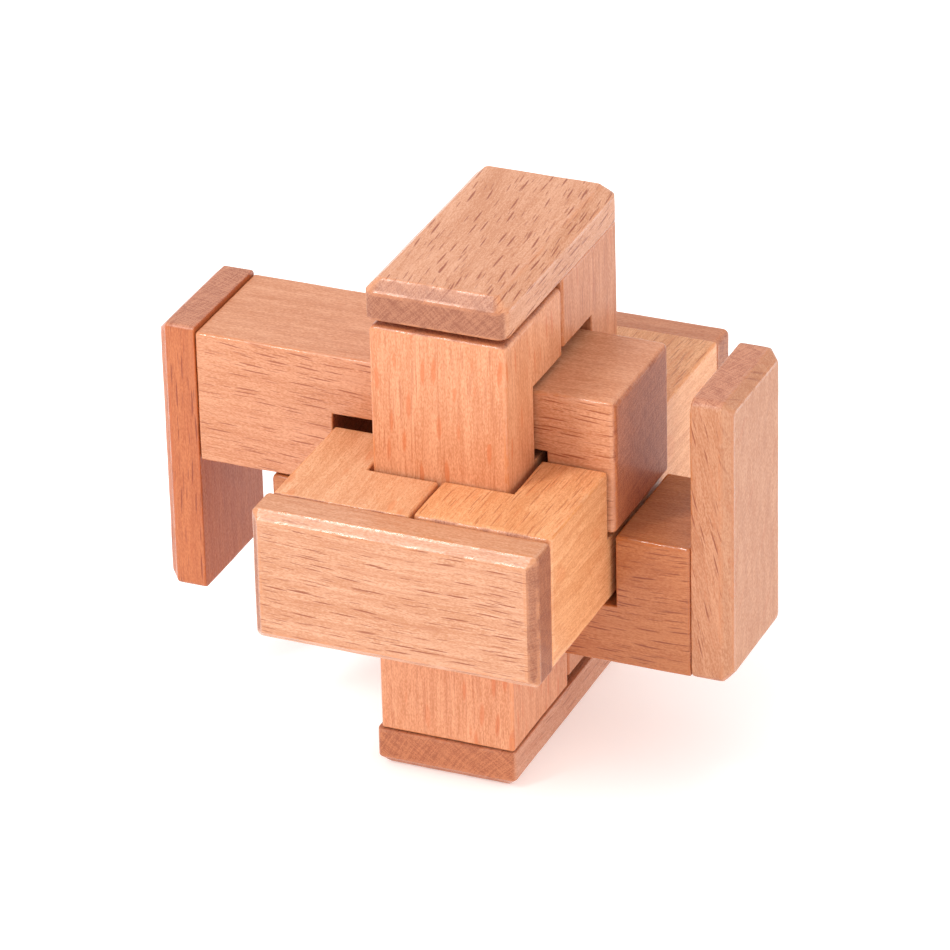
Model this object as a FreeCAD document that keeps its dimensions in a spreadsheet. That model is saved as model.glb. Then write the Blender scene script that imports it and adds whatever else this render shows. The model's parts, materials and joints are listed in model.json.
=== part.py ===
import FreeCAD, Part
import os
import Sketcher

# A six-piece wooden burr with a plate glued to one end of every bar.
#
# Two bars run along each axis, crossing at the burr's centre: two uprights (Z), two cross bars (X) and
# two depth bars (Y). The grid is the half pitch, half of a bar's nominal side, so a bar fills two grid
# steps by two. Every notch is half a bar deep, and is cut straight through the bar from side to side.
# The upper cross bar is the key. It is stored drawn out to the left, and slides home along +X.
#
# The origin is the middle of the bottom plate's underside. X is to the right, Y to the back, Z up.

SHEET = "dimensions"

DIMENSIONS = [
    # (alias, value in mm, meaning)
    ("half_pitch", 10.0, "half of a bar's nominal side: the burr's grid"),
    ("bar_side", 19.8, "planed side of a bar's square section"),
    ("bar_length", 61.8, "length of a bar"),
    ("bar_round", 0.6, "radius of a bar's sanded edges"),
    ("plate_length", 40.4, "long side of an end plate"),
    ("plate_width", 20.0, "short side of an end plate"),
    ("plate_thickness", 5.8, "thickness of an end plate"),
    ("plate_bevel", 1.4, "bevel round an end plate's outer face"),
    ("plate_corner", 1.6, "radius of an end plate's corners"),
    # The plates are sawn and glued by hand, so most differ a little from the nominal size and place.
    ("upright_plate_width", 20.6, "the top and bottom plates are cut a little wide"),
    ("upright_plate_shift", -0.2, "and are glued a little to the left"),
    ("left_plate_length", 40.8, "the left plate is cut a little long"),
    ("left_plate_rise", 0.2, "and is glued above its bar's middle"),
    ("right_plate_length", 42.5, "the right plate is cut long"),
    ("right_plate_rise", 1.05, "and is glued well above its bar's middle"),
    ("front_plate_length", 41.2, "the front plate is cut a little long"),
    ("front_plate_width", 19.7, "and a little narrow"),
    ("front_plate_shift", -0.2, "and is glued a little to the left"),
    ("front_plate_rise", 0.1, "and above its bar's middle"),
    ("upright_play", 1.1, "the long notch in an upright reaches this far past the grid"),
    ("upright_key_play", 0.5, "and its notch for the key this far"),
    ("cross_play", 1.1, "the lower cross bar's outer notch end, past the grid"),
    ("depth_play", 0.55, "a side notch in a depth bar, past the grid"),
    ("key_slot_play", 0.55, "the depth bars' slot for the key, past the grid"),
    ("key_inner_play", 0.5, "the key's notch towards its plate, past the grid"),
    ("key_outer_play", 0.9, "the key's notch towards its free end, past the grid"),
    ("floor_play", 0.4, "a notch's floor in an upright or depth bar, past half depth"),
    ("cross_floor_play", 0.9, "a notch's floor in a cross bar, past half depth"),
    ("block_relief", 0.4, "an upright's middle block stops short of the grid"),
    ("cross_relief", 1.0, "the lower cross bar's middle block stops short of the grid"),
    ("depth_relief", 0.5, "the right depth bar's middle block stops short of the grid"),
    # Each bar sits a little off the grid, within the play of its notches.
    ("front_upright_rise", 0.7, "the front upright stands on its plate"),
    ("rear_upright_rise", 1.6, "the rear upright is drawn up"),
    ("cross_rise", 0.55, "both cross bars rest on the uprights"),
    ("lower_cross_shift", 1.0, "the lower cross bar is drawn to the right"),
    ("key_home_shift", 0.38, "the key's place when it is home"),
    ("key_travel", 10.0, "the key's slide, one grid step"),
    ("left_depth_shift", 0.31, "the left depth bar, towards the back"),
    ("right_depth_shift", 0.5, "the right depth bar, towards the back"),
    ("left_depth_spread", 0.1, "the left depth bar, to the right"),
    ("right_depth_spread", 0.3, "the right depth bar, to the right"),
    ("left_depth_rise", 0.15, "the left depth bar, up"),
    ("right_depth_rise", 0.35, "the right depth bar, up"),
]

# The plane through each axis: its sketch's horizontal and vertical run along the other two axes.
SECTION_PLANE = {"X": "YZ_Plane", "Y": "XZ_Plane", "Z": "XY_Plane"}
AXIS_VECTOR = {
    "X": FreeCAD.Vector(1, 0, 0),
    "Y": FreeCAD.Vector(0, 1, 0),
    "Z": FreeCAD.Vector(0, 0, 1),
}

doc = FreeCAD.newDocument("burr_puzzle")


def add_sheet():
    """The spreadsheet that holds every driving dimension under its alias."""
    sheet = doc.addObject("Spreadsheet::Sheet", SHEET)
    for row, (alias, value, meaning) in enumerate(DIMENSIONS, start=1):
        sheet.set(f"A{row}", meaning)
        sheet.set(f"B{row}", str(value))
        sheet.setAlias(f"B{row}", alias)
    doc.recompute()
    return sheet


def cells(formula):
    """A formula of aliases, written as FreeCAD reads it: each alias is looked up in the sheet."""
    words = formula.split()
    aliases = {alias for alias, _, _ in DIMENSIONS}
    return " ".join(f"{SHEET}.{word}" if word in aliases else word for word in words)


def origin_plane(body, role):
    for feature in body.Origin.OriginFeatures:
        if feature.Role == role:
            return feature
    raise ValueError(f"{body.Name} has no {role}")


def add_rectangle_sketch(body, name, plane, left, bottom, right, top):
    """A sketch on one of the body's own planes: a rectangle whose four sides are formulas."""
    sketch = body.newObject("Sketcher::SketchObject", f"{body.Name}_{name}")
    sketch.AttachmentSupport = [(origin_plane(body, plane), "")]
    sketch.MapMode = "FlatFace"
    doc.recompute()
    x0, y0, x1, y1 = (float(sketch.evalExpression(cells(side))) for side in (left, bottom, right, top))
    corners = [
        FreeCAD.Vector(x0, y0, 0),
        FreeCAD.Vector(x1, y0, 0),
        FreeCAD.Vector(x1, y1, 0),
        FreeCAD.Vector(x0, y1, 0),
    ]
    for start, end in zip(corners, corners[1:] + corners[:1]):
        sketch.addGeometry(Part.LineSegment(start, end), False)
    for line in range(4):
        sketch.addConstraint(Sketcher.Constraint("Coincident", line, 2, (line + 1) % 4, 1))
    for line in (0, 2):
        sketch.addConstraint(Sketcher.Constraint("Horizontal", line))
    for line in (1, 3):
        sketch.addConstraint(Sketcher.Constraint("Vertical", line))
    # Line 0 starts at the lower left corner, and line 2 at the upper right one.
    sides = [
        ("left", "DistanceX", 0, x0, left),
        ("bottom", "DistanceY", 0, y0, bottom),
        ("right", "DistanceX", 2, x1, right),
        ("top", "DistanceY", 2, y1, top),
    ]
    for side, kind, line, value, formula in sides:
        index = sketch.addConstraint(Sketcher.Constraint(kind, -1, 1, line, 1, value))
        sketch.renameConstraint(index, side)
        sketch.setExpression(f"Constraints.{side}", cells(formula))
    doc.recompute()
    return sketch


def place(body, x, y, z):
    """Bind a body's place to formulas. Heights are counted from the underside of the bottom plate."""
    centre_height = "bar_length / 2 + plate_thickness - front_upright_rise"
    body.setExpression("Placement.Base.x", cells(x))
    body.setExpression("Placement.Base.y", cells(y))
    body.setExpression("Placement.Base.z", cells(f"{centre_height} + {z}"))


def add_bar(name, axis, section, notches, shift):
    """A square bar with sanded edges, then its notches, each cut right through the bar.

    section is the bar's centre line in its section plane. A notch is (name, plane, left, bottom,
    right, top): the plane it is drawn on, and the rectangle cut away.
    """
    body = doc.addObject("PartDesign::Body", name)
    body.Label = name
    across, up = section
    outline = add_rectangle_sketch(
        body, "section", SECTION_PLANE[axis],
        f"{across} - bar_side / 2", f"{up} - bar_side / 2",
        f"{across} + bar_side / 2", f"{up} + bar_side / 2",
    )
    blank = body.newObject("PartDesign::Pad", f"{name}_blank")
    blank.Profile = outline
    blank.SideType = "Symmetric"
    blank.setExpression("Length", cells("bar_length"))
    doc.recompute()

    sanded = body.newObject("PartDesign::Fillet", f"{name}_sanded")
    sanded.Base = (blank, [f"Edge{i}" for i in range(1, len(blank.Shape.Edges) + 1)])
    sanded.setExpression("Radius", cells("bar_round"))
    doc.recompute()

    for notch_name, plane, left, bottom, right, top in notches:
        volume_before = body.Shape.Volume
        profile = add_rectangle_sketch(body, notch_name, plane, left, bottom, right, top)
        cut = body.newObject("PartDesign::Pocket", f"{name}_{notch_name}_cut")
        cut.Profile = profile
        cut.SideType = "Symmetric"
        cut.Type = "ThroughAll"
        doc.recompute()
        if body.Shape.Volume > volume_before - 1.0:
            raise RuntimeError(f"{name}: {notch_name} cuts nothing")
    place(body, *shift)
    return body


def add_plate(name, axis, outward, across, up, shift):
    """An end plate: a rectangle with round corners and a bevel round the face that shows.

    The glued face lies on the section plane of the bar's axis. outward is +1 or -1 along that axis.
    """
    body = doc.addObject("PartDesign::Body", name)
    body.Label = name
    outline = add_rectangle_sketch(
        body, "outline", SECTION_PLANE[axis],
        f"-1 * {across} / 2", f"-1 * {up} / 2", f"{across} / 2", f"{up} / 2",
    )
    blank = body.newObject("PartDesign::Pad", f"{name}_blank")
    blank.Profile = outline
    blank.setExpression("Length", cells("plate_thickness"))
    # The XZ plane faces -Y; the other two face along their axis.
    faces_along_axis = -1 if axis == "Y" else 1
    blank.Reversed = faces_along_axis != outward
    doc.recompute()

    direction = AXIS_VECTOR[axis]
    corners = []
    for i, edge in enumerate(blank.Shape.Edges, start=1):
        if abs(edge.tangentAt(edge.FirstParameter).dot(direction)) > 0.99:
            corners.append(f"Edge{i}")
    rounded = body.newObject("PartDesign::Fillet", f"{name}_corners")
    rounded.Base = (blank, corners)
    rounded.setExpression("Radius", cells("plate_corner"))
    doc.recompute()

    outer_face = max(
        range(len(rounded.Shape.Faces)),
        key=lambda i: outward * rounded.Shape.Faces[i].CenterOfMass.dot(direction),
    )
    bevel = body.newObject("PartDesign::Chamfer", f"{name}_bevel")
    bevel.Base = (rounded, [f"Face{outer_face + 1}"])
    bevel.setExpression("Size", cells("plate_bevel"))
    doc.recompute()
    place(body, *shift)
    return body


def upright_notches(side):
    """An upright's notches, cut in from the burr's centre. side is -1 for the front one, +1 for the rear.

    The long notch takes the lower cross bar and the depth bars, the short one the key.
    """
    floor = f"{side} * ( half_pitch + floor_play )"
    mouth = f"{-side} * half_pitch"
    left, right = (floor, mouth) if side < 0 else (mouth, floor)
    return [
        ("long_notch", "YZ_Plane", left, "-2 * half_pitch - upright_play", right, "0"),
        ("key_notch", "YZ_Plane", left, "half_pitch - block_relief", right,
         "2 * half_pitch + upright_key_play"),
    ]


def key_slot():
    """The slot across a depth bar's top that the key slides in."""
    end = "half_pitch + key_slot_play"
    return ("key_slot", "YZ_Plane", f"-1 * ( {end} )", "-1 * floor_play", end, "2 * half_pitch")


def build_bars():
    key_notch = (
        "notch", "XZ_Plane",
        "-1 * half_pitch - key_inner_play", "-1 * half_pitch",
        "2 * half_pitch + key_outer_play", "half_pitch + cross_floor_play",
    )
    lower_floor = "-1 * half_pitch - cross_floor_play"
    lower_notches = [
        ("left_notch", "XZ_Plane", "-2 * half_pitch - cross_play", lower_floor, "-1 * half_pitch", "half_pitch"),
        ("right_notch", "XZ_Plane", "-1 * cross_relief", lower_floor, "2 * half_pitch", "half_pitch"),
    ]
    left_depth_notches = [
        ("side_notch", "XY_Plane", "-1 * half_pitch - floor_play", "-2 * half_pitch - depth_play",
         "half_pitch", "2 * half_pitch + depth_play"),
        key_slot(),
    ]
    right_floor = "half_pitch + floor_play"
    right_depth_notches = [
        ("front_notch", "XY_Plane", "-1 * half_pitch", "-2 * half_pitch - depth_play",
         right_floor, "-1 * half_pitch + depth_relief"),
        ("rear_notch", "XY_Plane", "-1 * half_pitch", "half_pitch - depth_relief",
         right_floor, "2 * half_pitch + depth_play"),
        key_slot(),
    ]
    add_bar("front_upright_bar", "Z", ("0", "-1 * half_pitch"), upright_notches(-1),
            ("0", "0", "front_upright_rise"))
    add_bar("rear_upright_bar", "Z", ("0", "half_pitch"), upright_notches(1),
            ("0", "0", "rear_upright_rise"))
    add_bar("key_bar", "X", ("0", "half_pitch"), [key_notch],
            ("key_home_shift - key_travel", "0", "cross_rise"))
    add_bar("lower_cross_bar", "X", ("0", "-1 * half_pitch"), lower_notches,
            ("lower_cross_shift", "0", "cross_rise"))
    add_bar("left_depth_bar", "Y", ("-1 * half_pitch", "0"), left_depth_notches,
            ("left_depth_spread", "left_depth_shift", "left_depth_rise"))
    add_bar("right_depth_bar", "Y", ("half_pitch", "0"), right_depth_notches,
            ("right_depth_spread", "right_depth_shift", "right_depth_rise"))


def build_plates():
    """Each plate covers the ends of both bars of a pair, and is glued to one of them."""
    width = "plate_width"
    length = "plate_length"
    reach = "bar_length / 2"
    add_plate("bottom_plate", "Z", -1, "upright_plate_width", length,
              ("upright_plate_shift", "0", f"front_upright_rise - {reach}"))
    add_plate("top_plate", "Z", 1, "upright_plate_width", length,
              ("upright_plate_shift", "0", f"rear_upright_rise + {reach}"))
    add_plate("left_plate", "X", -1, width, "left_plate_length",
              (f"key_home_shift - key_travel - {reach}", "0", "cross_rise + left_plate_rise"))
    add_plate("right_plate", "X", 1, width, "right_plate_length",
              (f"lower_cross_shift + {reach}", "0", "cross_rise + right_plate_rise"))
    add_plate("front_plate", "Y", -1, "front_plate_length", "front_plate_width",
              ("front_plate_shift", f"left_depth_shift - {reach}", "front_plate_rise"))
    add_plate("back_plate", "Y", 1, length, width,
              ("0", f"right_depth_shift + {reach}", "0"))


def check_document():
    """Stop if any feature failed or any sub-part is not one valid solid."""
    for feature in doc.Objects:
        if "Invalid" in feature.State or "Error" in feature.State:
            raise RuntimeError(f"{feature.Name} failed: {feature.State}")
    for body in doc.findObjects("PartDesign::Body"):
        if body.Shape.isNull() or not body.Shape.isValid():
            raise RuntimeError(f"{body.Label} has no valid shape")
        if len(body.Shape.Solids) != 1:
            raise RuntimeError(f"{body.Label} is {len(body.Shape.Solids)} solids")


def export_parts():
    os.makedirs("parts", exist_ok=True)
    for body in doc.findObjects("PartDesign::Body"):
        body.Shape.exportStep(f"parts/{body.Label}.step")
        print(f"{body.Label}: {body.Shape.Volume:.0f} mm3")


add_sheet()
build_bars()
build_plates()
doc.recompute()
check_document()
export_parts()
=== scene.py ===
"""A six-piece wooden burr with a plate glued to one end of every bar, in lacquered beech.

Each bar is rebuilt from the flat faces of its own CAD node, so its notches are where the CAD has them. Its
edges are then rounded, unevenly, as hand sanding leaves them. Each plate is lofted inside its node's box,
with a bevel round its outer face. Lengths are in metres, and MM is a millimetre. Only the beech's own
patterns are sized in plain millimetres.
"""

import json
import math
from collections import namedtuple
from itertools import product

import bmesh
import bpy
from mathutils import Matrix, Vector, noise
from mathutils.bvhtree import BVHTree


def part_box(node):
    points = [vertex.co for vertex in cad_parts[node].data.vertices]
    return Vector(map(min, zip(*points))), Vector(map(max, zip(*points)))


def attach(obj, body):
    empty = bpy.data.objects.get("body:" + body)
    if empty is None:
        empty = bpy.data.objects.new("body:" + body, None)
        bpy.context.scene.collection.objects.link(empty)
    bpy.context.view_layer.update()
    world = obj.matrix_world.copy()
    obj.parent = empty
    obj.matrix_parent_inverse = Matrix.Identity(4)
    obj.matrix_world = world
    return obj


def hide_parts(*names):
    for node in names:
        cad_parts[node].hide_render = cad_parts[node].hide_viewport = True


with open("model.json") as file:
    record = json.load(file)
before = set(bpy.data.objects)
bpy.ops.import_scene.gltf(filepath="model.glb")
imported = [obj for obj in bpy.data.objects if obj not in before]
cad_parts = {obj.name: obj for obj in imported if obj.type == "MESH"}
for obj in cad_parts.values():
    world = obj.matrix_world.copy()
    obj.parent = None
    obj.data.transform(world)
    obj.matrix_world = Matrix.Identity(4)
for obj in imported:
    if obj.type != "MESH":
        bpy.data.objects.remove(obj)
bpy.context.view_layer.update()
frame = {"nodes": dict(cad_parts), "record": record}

MM = 0.001
AXES = [Vector((1, 0, 0)), Vector((0, 1, 0)), Vector((0, 0, 1))]
BURR_CENTRE = Vector((0.0, 0.0, 36.0 * MM))    # straight above the origin, where the bars cross

# How the CAD's meshes are read
SQUARE_ON = 0.9999        # a face whose normal has this much of an axis is square to it
SMALLEST_FLAT = 1e-6      # square metres: a flat face larger than this is one of the piece's sides
FLAT_ANGLE = 0.01         # radians: two faces that meet at less than this are one
ONE_POINT = 1e-6          # points nearer than this are one
ONE_PLANE = 1e-5          # and planes nearer than this are one

# Bars
END_ROUND = 0.9 * MM      # radius round a bar's bare end
GLUED_ROUND = 0.4 * MM    # and round the end that its plate is glued to
LONG_ROUND = 0.55 * MM    # radius of the four long edges
NOTCH_ROUND = 0.3 * MM    # radius of the edges that a notch leaves
ROUND_STEPS = 4
ROUND_CLEARANCE = 0.2 * MM    # from a rounding to the first cut across its bar

PLATE_OF = {
    "front_upright_bar": "bottom_plate",
    "rear_upright_bar": "top_plate",
    "key_bar": "left_plate",
    "lower_cross_bar": "right_plate",
    "left_depth_bar": "front_plate",
    "right_depth_bar": "back_plate",
}

# Plates: the bevel round the outer face, and the radius of the four corners. Three are cut otherwise.
PLATE_CUT = (1.4 * MM, 0.9 * MM)
PLATE_CUTS = {
    "top_plate": (1.7 * MM, 1.7 * MM),
    "right_plate": (1.4 * MM, 1.7 * MM),
    "front_plate": (1.3 * MM, 0.9 * MM),
}
BEVEL_SOFTNESS = 0.28 * MM
BEVEL_STEPS = 3
CORNER_LOSS = 0.6         # how fast a corner's radius shrinks on the way in over the bevel
SMALLEST_CORNER = 0.2 * MM
CORNER_STEPS = 6
QUARTERS = [(1, 1), (-1, 1), (-1, -1), (1, -1)]

# Hand finish
CUT_SPACING = 1.4 * MM    # the faces are divided about this finely, so that they can be uneven
EDGE_WEAR = 0.08 * MM     # how deep the sanding bites into an edge at most
FACE_WEAR = 0.03 * MM     # and into a flat face
EDGE_REACH = 1.2 * MM     # how far from the sharp edge the wear and the polish reach
ROUND_DEPTH = 0.41        # how far inside a sharp edge the middle of its rounding lies, for each radius
EDGE_GRAIN = 4.5 * MM     # size of one uneven patch along an edge
FACE_GRAIN = 4 * EDGE_GRAIN    # and on a flat face
SEED_STEPS = (7.3, 3.1, 5.7)    # how far apart in the noise two pieces are, along each axis

# One piece of wood. grain is the axis that the fibres follow. radial points from the tree's middle to its
# bark, so a face square to it is flat-sawn and shows the rays end on, as short dark flecks. lean is how far
# the fibres run off the axis, in degrees. seed is where in the tree the piece was cut. tint is the wood's own
# colour, but on the lower cross bar it also holds painted shade, and ends is that of its end grain. flecks,
# lines (hair-thin dark ones along the fibres), spots (soft orange ones) and rings are how strongly each of
# them shows.
Wood = namedtuple("Wood", "grain radial lean seed tint ends flecks lines spots rings")

WOODS = {
    "front_upright_bar": Wood(
        grain="Z", radial=(0.80, 0.60, 0.0), lean=0.5, seed=1,
        tint=(0.68, 0.285, 0.14), ends=(0.60, 0.27, 0.15),
        flecks=0.15, lines=0.8, spots=0.9, rings=0.5,
    ),
    "top_plate": Wood(
        grain="Y", radial=(0.72, 0.0, 0.70), lean=3.0, seed=2,
        tint=(0.61, 0.28, 0.155), ends=(0.50, 0.23, 0.13),
        flecks=1.0, lines=0.3, spots=0.0, rings=0.5,
    ),
    "rear_upright_bar": Wood(
        grain="Z", radial=(0.64, 0.77, 0.0), lean=-0.5, seed=3,
        tint=(0.575, 0.225, 0.105), ends=(0.60, 0.27, 0.15),
        flecks=0.15, lines=1.0, spots=0.5, rings=0.5,
    ),
    "bottom_plate": Wood(
        grain="Y", radial=(0.60, 0.0, 0.80), lean=-1.5, seed=4,
        tint=(0.54, 0.235, 0.135), ends=(0.62, 0.25, 0.11),
        flecks=0.8, lines=0.4, spots=0.2, rings=0.6,
    ),
    "key_bar": Wood(
        grain="X", radial=(0.0, 0.98, 0.17), lean=2.0, seed=5,
        tint=(0.61, 0.262, 0.135), ends=(0.58, 0.215, 0.095),
        flecks=0.85, lines=0.4, spots=0.0, rings=0.5,
    ),
    "left_plate": Wood(
        grain="Z", radial=(0.25, 0.97, 0.0), lean=1.0, seed=6,
        tint=(0.48, 0.132, 0.038), ends=(0.64, 0.31, 0.19),
        flecks=0.9, lines=0.4, spots=0.2, rings=0.5,
    ),
    "lower_cross_bar": Wood(
        grain="X", radial=(0.0, 0.94, 0.34), lean=-1.0, seed=7,
        # This tint is darker than the wood itself: painted shade, matched to the bar's shaded right part.
        tint=(0.45, 0.15, 0.05), ends=(0.70, 0.31, 0.17),
        flecks=0.9, lines=0.5, spots=0.0, rings=0.7,
    ),
    "right_plate": Wood(
        grain="Z", radial=(0.34, 0.94, 0.0), lean=-14.0, seed=8,
        tint=(0.51, 0.22, 0.11), ends=(0.67, 0.33, 0.205),
        flecks=0.9, lines=0.3, spots=0.3, rings=0.7,
    ),
    "left_depth_bar": Wood(
        grain="Y", radial=(0.94, 0.0, 0.34), lean=3.0, seed=9,
        tint=(0.72, 0.35, 0.18), ends=(0.60, 0.27, 0.15),
        flecks=0.25, lines=0.5, spots=0.6, rings=0.8,
    ),
    "front_plate": Wood(
        grain="X", radial=(0.0, 0.98, 0.20), lean=1.0, seed=10,
        tint=(0.605, 0.29, 0.163), ends=(0.44, 0.165, 0.075),
        flecks=1.0, lines=0.7, spots=0.0, rings=0.9,
    ),
    "right_depth_bar": Wood(
        grain="Y", radial=(0.10, 0.0, 1.0), lean=-2.0, seed=11,
        tint=(0.755, 0.345, 0.155), ends=(0.60, 0.27, 0.15),
        flecks=0.6, lines=0.6, spots=0.3, rings=0.8,
    ),
    "back_plate": Wood(
        grain="X", radial=(0.0, 0.94, -0.34), lean=-1.0, seed=12,
        tint=(0.56, 0.21, 0.098), ends=(0.54, 0.24, 0.13),
        flecks=0.8, lines=0.4, spots=0.2, rings=0.6,
    ),
}


# ---------------------------------------------------------------- shapes

def flat_places(mesh, axis):
    """Where the flat sides of a mesh that face along an axis lie, in order."""
    area = {}
    for face in mesh.polygons:
        if abs(face.normal[axis]) > SQUARE_ON:
            place = round(face.center[axis], 6)
            area[place] = area.get(place, 0.0) + face.area
    return sorted(place for place, size in area.items() if size > SMALLEST_FLAT)


def square_solid(node):
    """The node's shape with sharp edges: the cells between its flat sides that are inside it."""
    mesh = frame["nodes"][node].data
    places = [flat_places(mesh, axis) for axis in range(3)]
    tree = BVHTree.FromPolygons([v.co for v in mesh.vertices], [f.vertices for f in mesh.polygons])

    def is_solid(cell):
        if any(not 0 <= index < len(row) - 1 for index, row in zip(cell, places)):
            return False
        centre = Vector((row[index] + row[index + 1]) / 2 for index, row in zip(cell, places))
        surface, normal, _, _ = tree.find_nearest(centre)
        return (centre - surface).dot(normal) < 0

    shape = bmesh.new()
    corners = {}

    def corner(index):
        if index not in corners:
            corners[index] = shape.verts.new([row[i] for i, row in zip(index, places)])
        return corners[index]

    for cell in product(*(range(len(row) - 1) for row in places)):
        if not is_solid(cell):
            continue
        for axis, side in product(range(3), (0, 1)):
            beside = list(cell)
            beside[axis] += 1 if side else -1
            if is_solid(tuple(beside)):
                continue
            turn = [(0, 0), (1, 0), (1, 1), (0, 1)]
            if not side:
                turn.reverse()
            face = []
            for first, second in turn:
                index = list(cell)
                index[axis] += side
                index[(axis + 1) % 3] += first
                index[(axis + 2) % 3] += second
                face.append(corner(tuple(index)))
            shape.faces.new(face)
    bmesh.ops.dissolve_limit(shape, angle_limit=FLAT_ANGLE, verts=shape.verts, edges=shape.edges)
    return shape, places


def rounding_of(edge, node):
    """An edge's radius: largest round a bar's bare end, small where a notch starts, none inside a notch."""
    if edge.calc_face_angle_signed() < FLAT_ANGLE:
        return 0.0
    low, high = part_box(node)
    along = edge.verts[1].co - edge.verts[0].co
    for axis in range(3):
        if abs(along[axis]) > ONE_POINT:
            continue
        place = edge.verts[0].co[axis]
        if min(abs(place - low[axis]), abs(place - high[axis])) > ONE_PLANE:
            return NOTCH_ROUND
    length = max(range(3), key=lambda axis: high[axis] - low[axis])
    if abs(along[length]) > ONE_POINT:
        return LONG_ROUND
    plate_low, plate_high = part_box(PLATE_OF[node])
    is_glued = plate_low[length] - ONE_PLANE < edge.verts[0].co[length] < plate_high[length] + ONE_PLANE
    return GLUED_ROUND if is_glued else END_ROUND


def rounded_copy(mesh):
    """A mesh's copy whose edges are rounded by their bevel weights."""
    blank = bpy.data.objects.new(mesh.name, mesh)
    bpy.context.scene.collection.objects.link(blank)
    bevel = blank.modifiers.new("round", "BEVEL")
    bevel.limit_method = "WEIGHT"
    bevel.width = END_ROUND
    bevel.segments = ROUND_STEPS
    bevel.use_clamp_overlap = False
    evaluated = blank.evaluated_get(bpy.context.evaluated_depsgraph_get())
    rounded = bpy.data.meshes.new_from_object(evaluated)
    bpy.data.objects.remove(blank)
    return rounded


def bar_shape(node):
    """A bar with rounded edges. Gives its shape, where its flat sides lie, the sharp edges that it had, and
    how far from a flat side the first cut across it may be."""
    shape, places = square_solid(node)
    weight = shape.edges.layers.float.new("bevel_weight_edge")
    sharp = []
    for edge in shape.edges:
        rounding = rounding_of(edge, node)
        edge[weight] = rounding / END_ROUND
        if rounding:
            sharp.append((edge.verts[0].co.copy(), edge.verts[1].co.copy(), rounding))
    mesh = bpy.data.meshes.new(node + "_square")
    shape.to_mesh(mesh)
    shape.free()
    shape = bmesh.new()
    shape.from_mesh(rounded_copy(mesh))
    return shape, places, sharp, END_ROUND + ROUND_CLEARANCE


def softened(corners, radius, steps):
    """An open line through the corners, with each corner between its ends cut off in small steps."""
    line = [corners[0]]
    for before, here, after in zip(corners, corners[1:], corners[2:]):
        back = (before - here).normalized()
        on = (after - here).normalized()
        reach = radius / math.tan(back.angle(on) / 2)
        for step in range(steps + 1):
            part = step / steps
            start = here + back * reach * (1 - part)
            end = here + on * reach * part
            line.append(start.lerp(end, part))
    line.append(corners[-1])
    return line


def rounded_rectangle(half_wide, half_deep, radius):
    """The points of a rounded rectangle, anticlockwise."""
    points = []
    for quarter, (side, end) in enumerate(QUARTERS):
        centre = Vector((side * (half_wide - radius), end * (half_deep - radius)))
        for step in range(CORNER_STEPS + 1):
            angle = math.radians(90 * (quarter + step / CORNER_STEPS))
            points.append(centre + radius * Vector((math.cos(angle), math.sin(angle))))
    return points


def lofted(rings):
    """A closed shape through rings of points, each with as many points as the next."""
    shape = bmesh.new()
    rows = [[shape.verts.new(point) for point in ring] for ring in rings]
    for row, following in zip(rows, rows[1:]):
        for index in range(len(row)):
            after = (index + 1) % len(row)
            shape.faces.new([row[index], row[after], following[after], following[index]])
    shape.faces.new(rows[0][::-1])
    shape.faces.new(rows[-1])
    bmesh.ops.recalc_face_normals(shape, faces=shape.faces)
    return shape


def plate_shape(node):
    """A plate, lofted from its glued face to its bevelled outer face. Gives what bar_shape gives."""
    low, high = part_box(node)
    size = high - low
    thick = min(range(3), key=lambda axis: size[axis])
    wide = (thick + 1) % 3
    deep = (thick + 2) % 3
    centre = (low + high) / 2
    outwards = centre[thick] > BURR_CENTRE[thick]
    thickness = size[thick]
    bevel, corner = PLATE_CUTS.get(node, PLATE_CUT)

    def half_sides(inset):
        return size[wide] / 2 - inset, size[deep] / 2 - inset

    def spot(depth, across, up):
        place = centre.copy()
        place[thick] = low[thick] + depth if outwards else high[thick] - depth
        place[wide] += across
        place[deep] += up
        return place

    # Half the plate's section, as depth from the glued face and inset from the side
    foot = Vector((0.0, 0.0))
    shoulder = Vector((thickness - bevel, 0.0))
    brow = Vector((thickness, bevel))
    inwards = Vector((0.0, 2 * BEVEL_SOFTNESS))
    section = softened([foot + inwards, foot, shoulder, brow, brow + inwards], BEVEL_SOFTNESS, BEVEL_STEPS)
    rings = []
    for depth, inset in section:
        radius = max(corner - CORNER_LOSS * inset, SMALLEST_CORNER)
        outline = rounded_rectangle(*half_sides(inset), radius)
        rings.append([spot(depth, across, up) for across, up in outline])

    sharp = []
    squares = []
    for depth, inset in (foot, shoulder, brow):
        half_wide, half_deep = half_sides(inset)
        squares.append([spot(depth, side * half_wide, end * half_deep) for side, end in QUARTERS])
    for square in squares:
        sharp += [(start, end, BEVEL_SOFTNESS) for start, end in zip(square, square[1:] + square[:1])]
    for square, following in zip(squares, squares[1:]):
        sharp += [(start, end, BEVEL_SOFTNESS) for start, end in zip(square, following)]
    places = [[low[axis], high[axis]] for axis in range(3)]
    middle_of_bevel = bevel / 2
    return lofted(rings), places, sharp, middle_of_bevel


def divide(shape, places, margin):
    """Cut a shape across at even steps between its flat sides, margin clear of them."""
    for direction, row in zip(AXES, places):
        for start, end in zip(row, row[1:]):
            start += margin
            end -= margin
            steps = max(1, round((end - start) / CUT_SPACING))
            for step in range(steps + 1):
                place = direction * (start + (end - start) * step / steps)
                geometry = shape.verts[:] + shape.edges[:] + shape.faces[:]
                bmesh.ops.bisect_plane(
                    shape, geom=geometry, plane_co=place, plane_no=direction, dist=ONE_POINT
                )
    bmesh.ops.remove_doubles(shape, verts=shape.verts, dist=ONE_POINT)


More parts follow.
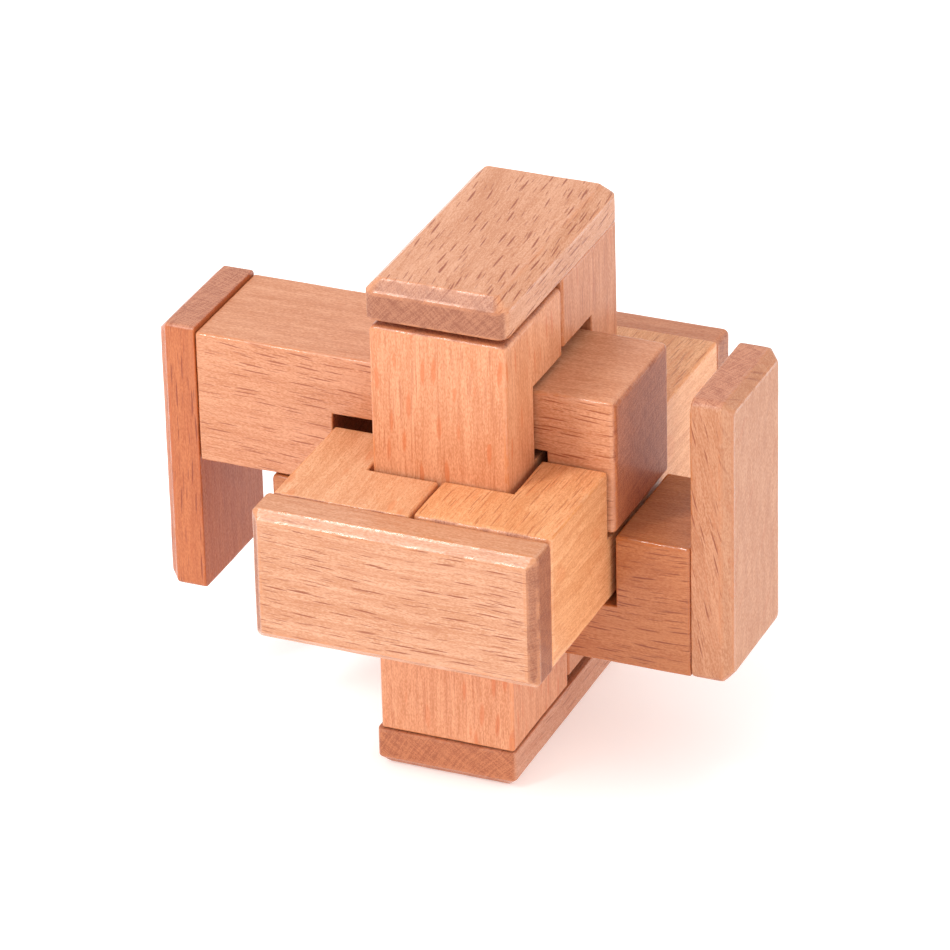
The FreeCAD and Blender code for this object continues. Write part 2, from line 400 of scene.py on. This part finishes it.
def distance_to_edge(point, sharp):
    """How far a point is from the middle of the nearest rounded edge."""
    nearest = math.inf
    for start, end, rounding in sharp:
        along = end - start
        part = min(max((point - start).dot(along) / along.length_squared, 0.0), 1.0)
        distance = (start + along * part - point).length - ROUND_DEPTH * rounding
        nearest = min(nearest, max(distance, 0.0))
    return nearest


def unevenness(point, grain, offset):
    """Noise from 0 to 1, in patches of the size of grain."""
    return 0.5 + 0.5 * noise.noise(point / grain + offset)


def hand_finish(shape, sharp, seed):
    """Move each point a little inwards, most at the edges, and note how near an edge it is."""
    nearness = shape.verts.layers.float.new("edge")
    offset = Vector(seed * step for step in SEED_STEPS)
    moves = []
    for vert in shape.verts:
        near = max(0.0, 1.0 - distance_to_edge(vert.co, sharp) / EDGE_REACH)
        vert[nearness] = near
        at_edge = EDGE_WEAR * near * unevenness(vert.co, EDGE_GRAIN, offset)
        on_face = FACE_WEAR * unevenness(vert.co, FACE_GRAIN, offset)
        moves.append(vert.normal * -(at_edge + on_face))
    for vert, move in zip(shape.verts, moves):
        vert.co += move


def add_piece(node, build):
    """A finished piece that stands for a CAD node and moves with its body."""
    wood = WOODS[node]
    shape, places, sharp, margin = build(node)
    divide(shape, places, margin)
    shape.normal_update()
    hand_finish(shape, sharp, wood.seed)
    mesh = bpy.data.meshes.new(node + "_wood")
    shape.to_mesh(mesh)
    shape.free()
    mesh.shade_smooth()
    piece = bpy.data.objects.new(node + "_wood", mesh)
    bpy.context.scene.collection.objects.link(piece)
    weighted = piece.modifiers.new("flat faces stay flat", "WEIGHTED_NORMAL")
    weighted.weight = 80
    piece.data.materials.append(beech(node, wood))
    body = next(name for name, nodes in frame["record"]["behaviour"]["bodies"].items() if node in nodes)
    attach(piece, body)
    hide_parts(node)


# ---------------------------------------------------------------- beech

# How large the wood's patterns are, in millimetres outwards, around and along the tree
WAVE = (10.0, 10.0, 20.0)
RING_DRIFT = (9.0, 14.0, 60.0)
CLOUDS = (9.0, 9.0, 22.0)
STREAKS = (1.3, 1.3, 26.0)
FIBRES = (0.22, 0.22, 5.0)
HAIRS = (0.34, 0.34, 10.0)
PORES = (0.16, 0.16, 0.45)
END_RAYS = (3.5, 0.20, 3.0)
END_BANDS = (0.24, 4.5, 5.0)
POLISH_PATCHES = (2.6, 2.6, 3.4)
LACQUER_PEEL = (1.1, 1.1, 1.6)

WAVE_HEIGHT = 1.6         # millimetres that the fibres wander to and fro
RING_WIDTH = 2.3          # millimetres of one year's growth
DRIFT_YEARS = 1.9         # how unevenly the years follow each other
RAY_REACH = 9.0           # millimetres that a ray runs outwards
SEED_APART = 37.0         # millimetres in the tree between two pieces

# The colours that a piece shows, as gains on its tint or on its end grain's colour
PALE_FIBRE = (1.12, 1.20, 1.28)
DARK_FIBRE = (0.86, 0.74, 0.62)
LATE_WOOD = (0.80, 0.64, 0.50)
ORANGE_SPOT = (0.91, 0.55, 0.32)
DARK_HAIR = (0.66, 0.42, 0.28)
DARK_FLECK = (0.50, 0.27, 0.17)
POLISHED = (1.04, 0.86, 0.66)
PALE_END = (0.84, 0.72, 0.66)
DARK_END = (0.54, 0.36, 0.30)


class Nodes:
    """Adds shader nodes to a material. Every call returns the new node's output."""

    def __init__(self, tree):
        self.tree = tree

    def add(self, kind, inputs=(), output=0, **settings):
        node = self.tree.nodes.new(kind)
        for name, value in settings.items():
            setattr(node, name, value)
        for socket, value in dict(inputs).items():
            if isinstance(value, bpy.types.NodeSocket):
                self.tree.links.new(value, node.inputs[socket])
            else:
                node.inputs[socket].default_value = value
        return node.outputs[output]

    def maths(self, operation, *values, clamp=False):
        return self.add("ShaderNodeMath", dict(enumerate(values)), operation=operation, use_clamp=clamp)

    def times(self, first, second):
        return self.maths("MULTIPLY", first, second)

    def dot(self, vector, direction):
        inputs = {0: vector, 1: tuple(direction)}
        return self.add("ShaderNodeVectorMath", inputs, output="Value", operation="DOT_PRODUCT")

    def length(self, vector):
        return self.add("ShaderNodeVectorMath", {0: vector}, output="Value", operation="LENGTH")

    def joined(self, x, y, z):
        return self.add("ShaderNodeCombineXYZ", {0: x, 1: y, 2: z})

    def step(self, value, low, high):
        """Rises smoothly from 0 to 1 as the value goes from low to high."""
        inputs = {"Value": value, "From Min": low, "From Max": high}
        return self.add("ShaderNodeMapRange", inputs, interpolation_type="SMOOTHSTEP")

    def scaled(self, place, sizes):
        """A place in the tree, in steps of the given sizes."""
        return self.joined(*[self.maths("DIVIDE", part, size) for part, size in zip(place, sizes)])

    def noise(self, place, sizes, detail=2.0, roughness=0.5):
        """Noise from 0 to 1, with patches of about the given sizes."""
        vector = self.scaled(place, sizes)
        inputs = {"Vector": vector, "Scale": 1.0, "Detail": detail, "Roughness": roughness}
        return self.add("ShaderNodeTexNoise", inputs)

    def mixed(self, *parts):
        """The sum of the noises, each times its strength, held between 0 and 1 and centred on 0.5."""
        total = 0.5
        for noise_value, strength in parts:
            centred = self.maths("MULTIPLY_ADD", noise_value, strength, -0.5 * strength)
            total = self.maths("ADD", centred, total)
        return self.maths("ADD", total, 0.0, clamp=True)

    def blend(self, factor, first, second):
        inputs = {0: factor, 6: first, 7: second}
        return self.add("ShaderNodeMix", inputs, output=2, data_type="RGBA")


def gained(tint, gains):
    """The tint with its channels scaled, as a shader colour."""
    return tuple(min(1.0, value * gain) for value, gain in zip(tint, gains)) + (1.0,)


def wood_axes(wood):
    """The fibres' direction, the direction from the pith outwards, and the one square to both."""
    radial = Vector(wood.radial).normalized()
    turn = Matrix.Rotation(math.radians(wood.lean), 3, radial)
    fibre = turn @ AXES["XYZ".index(wood.grain)]
    return fibre, radial, fibre.cross(radial)


def wood_place(nodes, wood):
    """A point's place in the tree, in millimetres: outwards, around and along, with a slight wave."""
    fibre, radial, around = wood_axes(wood)
    point = nodes.add("ShaderNodeTexCoord", output="Object")
    shift = SEED_APART * wood.seed
    out = nodes.maths("MULTIPLY_ADD", nodes.dot(point, radial), 1 / MM, shift)
    side = nodes.times(nodes.dot(point, around), 1 / MM)
    along = nodes.maths("MULTIPLY_ADD", nodes.dot(point, fibre), 1 / MM, shift)
    wave = nodes.noise((out, side, along), WAVE, detail=1.0)
    bend = nodes.maths("MULTIPLY_ADD", wave, WAVE_HEIGHT, -WAVE_HEIGHT / 2)
    return nodes.maths("ADD", out, bend), nodes.maths("ADD", side, bend), along


def growth_rings(nodes, place, wood):
    """0 in the early wood, rising to 1 in the narrow late wood at the end of each year."""
    out, side, _ = place
    cut_from_pith = 60.0 + 9.0 * (wood.seed % 5)
    out_from_pith = nodes.maths("ADD", out, cut_from_pith - SEED_APART * wood.seed)
    distance = nodes.length(nodes.joined(out_from_pith, side, 0.0))
    drift = nodes.noise(place, RING_DRIFT)
    years = nodes.maths("MULTIPLY_ADD", drift, DRIFT_YEARS, nodes.maths("DIVIDE", distance, RING_WIDTH))
    year = nodes.maths("FRACT", years)
    rise = nodes.step(year, 0.25, 0.93)
    fall = nodes.step(year, 1.0, 0.94)
    return nodes.times(rise, fall)


def rays(nodes, place, across, length, thickness, share):
    """Thin sheets that run outwards, one in each cell of across by length millimetres, in that share of the
    cells. Cut across, they are short spindles."""
    cells = nodes.scaled(place, (RAY_REACH, across, length))
    inputs = {"Vector": cells, "Scale": 1.0, "Randomness": 0.9}
    voronoi = nodes.add("ShaderNodeTexVoronoi", inputs, output="Position").node
    from_middle = {0: cells, 1: voronoi.outputs["Position"]}
    offset = nodes.add("ShaderNodeVectorMath", from_middle, operation="SUBTRACT")
    times_smaller = (1.4, across / thickness, 2.3)    # than its cell
    spindle = nodes.add("ShaderNodeVectorMath", {0: offset, 1: times_smaller}, operation="MULTIPLY")
    body = nodes.step(nodes.length(spindle), 0.95, 0.50)
    chance = nodes.add("ShaderNodeSeparateColor", {0: voronoi.outputs["Color"]})
    present = nodes.step(chance, 1.0 - share, 1.12 - share)
    return nodes.times(body, present)


def ray_flecks(nodes, place, wood, on_quarter):
    """The rays as dark flecks, faint on the faces where they lie flat."""
    large = rays(nodes, place, across=1.05, length=6.0, thickness=0.135, share=0.75)
    small = rays(nodes, place, across=0.60, length=3.8, thickness=0.095, share=0.50)
    both = nodes.maths("MULTIPLY_ADD", small, 0.75, large, clamp=True)
    seen_end_on = nodes.maths("MULTIPLY_ADD", on_quarter, -0.9, 1.0)
    return nodes.times(both, nodes.times(seen_end_on, wood.flecks))


def side_grain(nodes, place, wood, rings, flecks, pores):
    """The colour of a face that runs along the fibres."""
    fibres = nodes.noise(place, FIBRES, detail=3.0, roughness=0.65)
    streaks = nodes.noise(place, STREAKS)
    clouds = nodes.noise(place, CLOUDS)
    hairs = nodes.noise(place, HAIRS, detail=1.0)
    spots = rays(nodes, place, across=1.5, length=6.0, thickness=0.29, share=0.62)

    tone = nodes.mixed((fibres, 2.2), (streaks, 1.3), (clouds, 0.8), (pores, 2.4))
    colour = nodes.blend(tone, gained(wood.tint, PALE_FIBRE), gained(wood.tint, DARK_FIBRE))
    ringed = nodes.times(rings, 0.36 * wood.rings)
    colour = nodes.blend(ringed, colour, gained(wood.tint, LATE_WOOD))
    spotted = nodes.times(spots, 0.75 * wood.spots)
    colour = nodes.blend(spotted, colour, gained(wood.tint, ORANGE_SPOT))
    lined = nodes.times(nodes.step(hairs, 0.56, 0.72), 0.50 * wood.lines)
    colour = nodes.blend(lined, colour, gained(wood.tint, DARK_HAIR))
    return nodes.blend(flecks, colour, gained(wood.tint, DARK_FLECK))


def end_grain(nodes, place, wood, rings, pores):
    """The colour of a face that the fibres end on: darker, with rays and rings that cross."""
    crossing = nodes.noise(place, END_RAYS, detail=1.0)
    bands = nodes.noise(place, END_BANDS, detail=1.0)
    tone = nodes.mixed((crossing, 2.0), (bands, 1.6), (pores, 2.4), (rings, 0.3 * wood.rings))
    return nodes.blend(tone, gained(wood.ends, PALE_END), gained(wood.ends, DARK_END))


def surface_relief(nodes, place, edge, pores, flecks):
    """The slight unevenness of lacquer over open pores, stronger at the edges."""
    peel = nodes.noise(place, LACQUER_PEEL)
    grain = nodes.maths("MULTIPLY_ADD", pores, 0.6, nodes.times(flecks, -0.5))
    height = nodes.maths("MULTIPLY_ADD", peel, nodes.maths("MULTIPLY_ADD", edge, 2.5, 0.5), grain)
    return nodes.add("ShaderNodeBump", {"Strength": 0.7, "Distance": 0.06 * MM, "Height": height})


def surface_roughness(nodes, pores, on_end, polish):
    """A satin surface, duller in the pores and on end grain, and glossier where it is polished."""
    plain = nodes.maths("MULTIPLY_ADD", pores, 0.30, nodes.maths("MULTIPLY_ADD", on_end, 0.10, 0.34))
    return nodes.maths("MULTIPLY_ADD", polish, -0.36, plain)


def beech(name, wood):
    """Lacquered beech, cut from its own place in a tree."""
    material = bpy.data.materials.new(name + "_beech")
    material.use_nodes = True
    tree = material.node_tree
    shader = tree.nodes["Principled BSDF"]
    nodes = Nodes(tree)

    place = wood_place(nodes, wood)
    fibre, _, around = wood_axes(wood)
    normal = nodes.add("ShaderNodeTexCoord", output="Normal")
    on_end = nodes.step(nodes.maths("ABSOLUTE", nodes.dot(normal, fibre)), 0.45, 0.8)
    on_quarter = nodes.step(nodes.maths("ABSOLUTE", nodes.dot(normal, around)), 0.70, 0.95)
    edge = nodes.add("ShaderNodeAttribute", output="Fac", attribute_name="edge")
    patches = nodes.noise(place, POLISH_PATCHES)
    polish = nodes.times(nodes.step(edge, 0.60, 0.92), nodes.step(patches, 0.34, 0.56))
    rings = growth_rings(nodes, place, wood)
    pores = nodes.noise(place, PORES, detail=1.0)
    flecks = ray_flecks(nodes, place, wood, on_quarter)

    side_colour = side_grain(nodes, place, wood, rings, flecks, pores)
    end_colour = end_grain(nodes, place, wood, rings, pores)
    colour = nodes.blend(on_end, side_colour, end_colour)
    colour = nodes.blend(nodes.times(polish, 0.45), colour, gained(wood.tint, POLISHED))
    tree.links.new(colour, shader.inputs["Base Color"])
    tree.links.new(surface_relief(nodes, place, edge, pores, flecks), shader.inputs["Normal"])
    tree.links.new(surface_roughness(nodes, pores, on_end, polish), shader.inputs["Roughness"])
    shader.inputs["Specular IOR Level"].default_value = 0.50
    shader.inputs["Coat Weight"].default_value = 0.10
    shader.inputs["Coat Roughness"].default_value = 0.15
    shader.inputs["Coat IOR"].default_value = 1.5
    return material


# ---------------------------------------------------------------- studio

def add_floor():
    """A plain near-white floor, large enough to fill the view."""
    mesh = bpy.data.meshes.new("floor")
    reach = 3.0
    corners = [(side * reach, end * reach, 0) for side, end in QUARTERS]
    mesh.from_pydata(corners, [], [(0, 1, 2, 3)])
    floor = bpy.data.objects.new("floor", mesh)
    bpy.context.scene.collection.objects.link(floor)
    material = bpy.data.materials.new("floor_white")
    material.use_nodes = True
    shader = material.node_tree.nodes["Principled BSDF"]
    shader.inputs["Base Color"].default_value = (0.93, 0.93, 0.93, 1.0)
    shader.inputs["Roughness"].default_value = 0.9
    shader.inputs["Specular IOR Level"].default_value = 0.1
    shader.inputs["Emission Color"].default_value = (1.0, 1.0, 1.0, 1.0)
    shader.inputs["Emission Strength"].default_value = 0.30
    mesh.materials.append(material)


def add_softbox(name, direction, distance, width, height, power):
    """A rectangular area light that looks at the burr's centre."""
    data = bpy.data.lights.new(name, "AREA")
    data.shape = "RECTANGLE"
    data.size = width
    data.size_y = height
    data.energy = power
    lamp = bpy.data.objects.new(name, data)
    back = Vector(direction).normalized()
    lamp.location = BURR_CENTRE + back * distance
    lamp.rotation_euler = back.to_track_quat("Z", "Y").to_euler()
    bpy.context.scene.collection.objects.link(lamp)


def add_world(strength):
    """White light from all round."""
    world = bpy.data.worlds.new("studio")
    world.use_nodes = True
    background = world.node_tree.nodes["Background"]
    background.inputs["Color"].default_value = (1.0, 1.0, 1.0, 1.0)
    background.inputs["Strength"].default_value = strength
    bpy.context.scene.world = world


def add_camera():
    """A long lens, a little right of the front and above the puzzle, held slightly off level."""
    azimuth = math.radians(23.518)
    elevation = math.radians(27.956)
    roll = math.radians(-1.447)
    distance = 0.82764
    aside = -0.00327
    above = 0.00087
    back = Vector((
        math.sin(azimuth) * math.cos(elevation),
        -math.cos(azimuth) * math.cos(elevation),
        math.sin(elevation),
    ))
    level = AXES[2].cross(back).normalized()
    upright = back.cross(level)
    right = level * math.cos(roll) + upright * math.sin(roll)
    up = upright * math.cos(roll) - level * math.sin(roll)
    data = bpy.data.cameras.new("camera")
    data.sensor_width = 36.0
    data.lens = 228.8
    data.clip_start = 0.05
    data.clip_end = 20.0
    camera = bpy.data.objects.new("camera", data)
    place = BURR_CENTRE + aside * right + above * up + distance * back
    camera.matrix_world = Matrix((
        (right.x, up.x, back.x, place.x),
        (right.y, up.y, back.y, place.y),
        (right.z, up.z, back.z, place.z),
        (0, 0, 0, 1),
    ))
    bpy.context.scene.collection.objects.link(camera)
    bpy.context.scene.camera = camera


for name in WOODS:
    add_piece(name, plate_shape if name.endswith("plate") else bar_shape)

add_floor()
add_world(0.98)
add_softbox("key", direction=(-0.35, -0.52, 0.78), distance=0.6, width=0.09, height=0.32, power=1.6)
add_softbox("front_fill", direction=(-0.35, -0.90, 0.25), distance=0.9, width=0.7, height=0.7, power=0.9)
add_softbox("right_fill", direction=(0.95, -0.20, 0.12), distance=0.9, width=0.7, height=0.7, power=2.3)
add_camera()
bpy.context.scene.view_settings.view_transform = "Standard"
